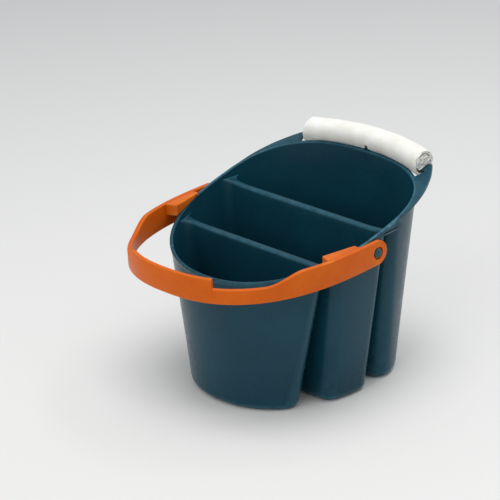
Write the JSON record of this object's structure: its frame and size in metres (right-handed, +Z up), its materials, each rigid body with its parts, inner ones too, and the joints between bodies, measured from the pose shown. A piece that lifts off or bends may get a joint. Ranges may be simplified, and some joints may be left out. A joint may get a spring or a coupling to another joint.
{
  "type": "brush washer",
  "caption": "Oval plastic tub of separate cups under one sloping rim, with a swinging carrying handle and a cloth wound on a curved bar at the back.",
  "frame": {"origin": "middle of the bounding box's underside, on the table", "axes": "X is the width, +Y is the rear with the cloth bar, +Z is up; the handle lies lowered toward -Y"},
  "size_m": [0.1516, 0.2019, 0.1438],
  "materials": {
    "tub_plastic": "satin moulded, dark teal",
    "handle_plastic": "satin moulded, orange",
    "cotton_cloth": "soft woven cotton, off white"
  },
  "bodies": {
    "tub": {"tub": "tub_plastic", "cloth": "cotton_cloth"},
    "handle": {"handle": "handle_plastic"}
  },
  "joints": [
    {"name": "handle_swing", "type": "hinge", "parent": "tub", "child": "handle", "pos_m": [0, 0.01076, 0.1014], "axis": [-1, 0, 0], "range_deg": [0, 100]}
  ]
}
